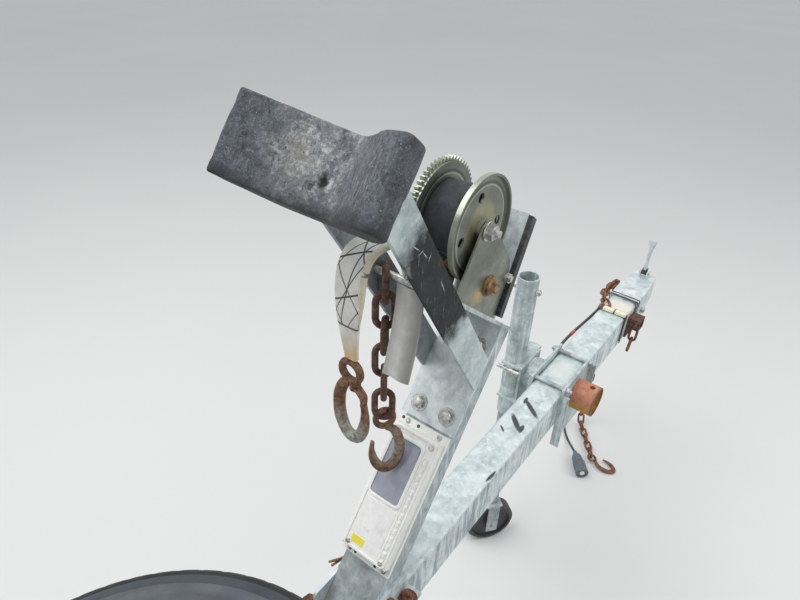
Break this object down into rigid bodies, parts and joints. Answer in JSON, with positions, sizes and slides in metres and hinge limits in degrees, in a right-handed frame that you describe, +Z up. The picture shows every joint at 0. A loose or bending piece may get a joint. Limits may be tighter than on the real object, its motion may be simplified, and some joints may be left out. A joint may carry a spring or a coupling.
{
  "type": "boat trailer tongue with winch stand",
  "caption": "Front end of a boat trailer: tongue tube with coupler, leaning winch stand with bow block, strap winch, spare wheel, swing-up jack and safety chains.",
  "frame": {"origin": "centre of the rear flange's back face, where the tongue bolts to the trailer", "axes": "+X forward along the tongue to the coupler, +Y to the left, +Z up"},
  "size_m": [2.19, 0.605, 1.5137],
  "materials": {
    "galvanised": "satin",
    "galvanised_dark": "satin",
    "rust": "matte",
    "stub_rust": "matte",
    "tyre_rubber": "matte",
    "wheel_white": "satin",
    "block_rubber": "matte",
    "yellow_zinc": "satin",
    "zinc_bolt": "satin",
    "black_webbing": "matte",
    "white_webbing": "matte",
    "grey_webbing": "matte",
    "tracker_white": "matte",
    "solar_blue": "gloss",
    "black_plastic": "matte",
    "cable_black": "matte",
    "plug_slate": "matte",
    "tab_cream": "matte",
    "wheel_black": "matte"
  },
  "bodies": {
    "tongue_body": {"arm_left": "galvanised", "arm_right": "galvanised", "arm_spacer": "zinc_bolt", "base_bars": "galvanised", "base_plate": "galvanised", "base_shoe": "galvanised", "base_studs": "rust", "block_plate": "galvanised", "bow_block": "block_rubber", "bow_chain": "rust", "chain_bracket": "rust", "chain_hook": "rust", "clamp_left": "galvanised", "clamp_right": "galvanised", "clamp_rods": "galvanised_dark", "coupler_body": "galvanised", "coupler_bolts": "zinc_bolt", "drum_axle": "zinc_bolt", "grey_strap": "grey_webbing", "guard_edging": "black_plastic", "latch_pin": "zinc_bolt", "marker_band": "black_plastic", "marker_tabs": "tab_cream", "plate_bolts": "zinc_bolt", "plug": "plug_slate", "plug_cable": "cable_black", "post_plate": "galvanised", "rear_flange": "galvanised", "safety_chain_left": "rust", "safety_chain_right": "rust", "safety_hook": "rust", "shoe_bolt": "rust", "sling": "white_webbing", "sling_hook": "rust", "solar_panel": "solar_blue", "spare_carrier": "galvanised", "spare_nuts": "zinc_bolt", "spare_rim": "wheel_white", "spare_tyre": "tyre_rubber", "stub_left": "galvanised", "stub_right": "stub_rust", "tongue_beam": "galvanised", "tracker_case": "tracker_white", "winch_frame": "yellow_zinc", "winch_guard": "galvanised", "winch_post": "galvanised", "winch_shelf": "galvanised", "winch_tie_bolt": "zinc_bolt"},
    "winch_drum_body": {"winch_drum": "yellow_zinc", "winch_webbing": "black_webbing"},
    "pinion_body": {"pinion_shaft": "zinc_bolt"},
    "jack_body": {"jack_carrier": "galvanised", "jack_tube": "galvanised", "jack_cross_bolt": "zinc_bolt", "jack_pull_pin": "zinc_bolt"},
    "jack_leg_body": {"jack_leg": "galvanised_dark", "jack_fork": "galvanised_dark", "jack_wheel_axle": "zinc_bolt"},
    "jack_wheel_body": {"jack_wheel": "wheel_black"},
    "latch_body": {"latch_lever": "galvanised_dark"}
  },
  "joints": [
    {"name": "drum_spin", "type": "hinge", "parent": "tongue_body", "child": "winch_drum_body", "pos_m": [0.98334, 0, 0.66174], "axis": [0, 1, 0], "continuous": true},
    {"name": "pinion_spin", "type": "hinge", "parent": "tongue_body", "child": "pinion_body", "pos_m": [1.00297, 0, 0.57007], "axis": [0, 1, 0], "continuous": true},
    {"name": "jack_swing", "type": "hinge", "parent": "tongue_body", "child": "jack_body", "pos_m": [1.538, 0.06, 0.005], "axis": [0, 1, 0], "range_deg": [0, 90]},
    {"name": "jack_leg_slide", "type": "slide", "parent": "jack_body", "child": "jack_leg_body", "axis": [0, 0, 1], "range_m": [0, 0.18]},
    {"name": "jack_wheel_spin", "type": "hinge", "parent": "jack_leg_body", "child": "jack_wheel_body", "pos_m": [1.505, 0.112, -0.58], "axis": [0.6018, 0.7986, 0], "continuous": true},
    {"name": "latch_lift", "type": "hinge", "parent": "tongue_body", "child": "latch_body", "pos_m": [2.134, 0, 0.066], "axis": [0, -1, 0], "range_deg": [0, 80]}
  ],
  "couplings": [
    {"joint": "pinion_spin", "follows": "drum_spin", "ratio": -4.3571}
  ]
}
